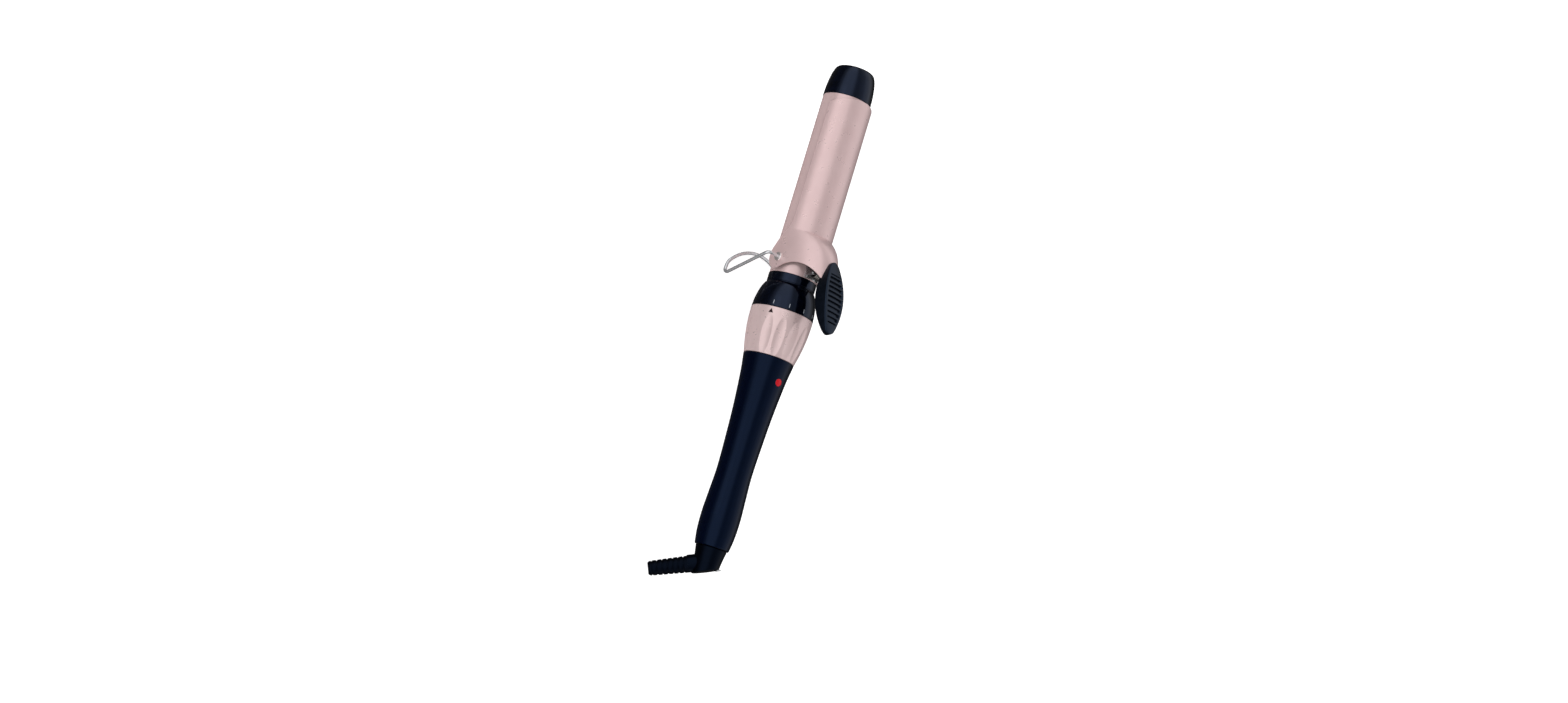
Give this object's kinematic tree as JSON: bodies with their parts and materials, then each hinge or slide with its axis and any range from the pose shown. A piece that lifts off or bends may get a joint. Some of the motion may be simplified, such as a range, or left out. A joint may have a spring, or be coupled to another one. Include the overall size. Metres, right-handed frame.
{
  "type": "clip curling iron",
  "caption": "Handheld curling iron: round heated barrel with a sprung clip and thumb lever, folding wire stand, fluted heat dial, waisted handle and swivelling cord outlet.",
  "frame": {"origin": "on the surface it stands on, at the middle of its length and width; the stand's foot lies on Z = 0", "axes": "+X along the barrel towards the cool tip, +Z towards the clip and thumb lever, +Y completes a right-handed frame; the stand's foot is square to Z"},
  "size_m": [0.3602, 0.059, 0.0824],
  "materials": {
    "barrel_coat": "satin rose-gold ceramic coating on steel",
    "clip_sheet": "satin rose-gold on pressed steel",
    "plated_plastic": "rose-gold plated plastic",
    "black_gloss": "glossy near-black",
    "black_grip": "satin near-black",
    "black_rubber": "matte near-black",
    "rivet_metal": "polished rose-gold",
    "wire_chrome": "bright nickel-chrome wire",
    "spring_steel": "dark spring steel",
    "zinc_steel": "zinc-plated steel",
    "alloy": "extruded alloy",
    "ceramic": null,
    "mica": null,
    "sleeving": "white glass-fibre sleeving",
    "inner_plastic": "dark moulded plastic",
    "board": "green circuit board",
    "parts_mixed": "mixed small electrical parts",
    "contact_brass": "contact brass",
    "lens_red": "clear red plastic",
    "bulb_red": "tinted epoxy",
    "wire_pvc": "insulated wire"
  },
  "bodies": {
    "iron": {"cool_tip": "black_gloss", "tip_insulator": "mica", "barrel": "barrel_coat", "heat_spreader_upper": "alloy", "heat_spreader_lower": "alloy", "ptc_heater": "ceramic", "heater_spring": "spring_steel", "temperature_sensor": "ceramic", "thermal_fuse": "zinc_steel", "mica_washer": "mica", "heater_leads": "sleeving", "collar_bell": "black_gloss", "collar_screws": "zinc_steel", "selector_board": "board", "detent_spring": "spring_steel", "chassis_upper": "inner_plastic", "chassis_lower": "inner_plastic", "chassis_screws": "zinc_steel", "handle_sleeve": "black_grip", "led_lens": "lens_red", "led": "bulb_red", "control_board": "board", "board_components": "parts_mixed", "supply_leads": "wire_pvc", "brush_contacts": "contact_brass", "hinge_rivets": "rivet_metal", "hinge_washers": "zinc_steel", "spring_bracket": "zinc_steel", "bracket_rivets": "zinc_steel", "spring_pin": "zinc_steel", "clip_spring": "spring_steel"},
    "clip": {"clip_shell": "clip_sheet", "thumb_pad": "black_grip", "pad_screws": "zinc_steel"},
    "stand": {"stand_wire": "wire_chrome"},
    "dial": {"dial_ring": "plated_plastic", "selector_wiper": "contact_brass"},
    "swivel": {"swivel_elbow": "black_grip", "elbow_cover": "black_grip", "cover_screw": "zinc_steel", "cord_clamp": "inner_plastic", "strain_relief": "black_rubber", "slip_carrier": "inner_plastic", "slip_rings": "contact_brass"}
  },
  "joints": [
    {"name": "clip_hinge", "type": "hinge", "parent": "iron", "child": "clip", "pos_m": [0.0404, 0, 0.036], "axis": [0, -1, 0], "range_deg": [0, 18], "stiffness_Nm_per_rad": 1.2, "springref_deg": -14.32, "deforming": ["clip_spring"]},
    {"name": "stand_fold", "type": "hinge", "parent": "iron", "child": "stand", "pos_m": [0.0404, 0, 0.036], "axis": [0, -1, 0], "range_deg": [-52, 48]},
    {"name": "dial_turn", "type": "hinge", "parent": "iron", "child": "dial", "pos_m": [-0.0086, 0, 0.036], "axis": [1, 0, 0], "range_deg": [0, 90]},
    {"name": "cord_swivel", "type": "hinge", "parent": "iron", "child": "swivel", "pos_m": [-0.1526, 0, 0.036], "axis": [1, 0, 0], "continuous": true}
  ]
}
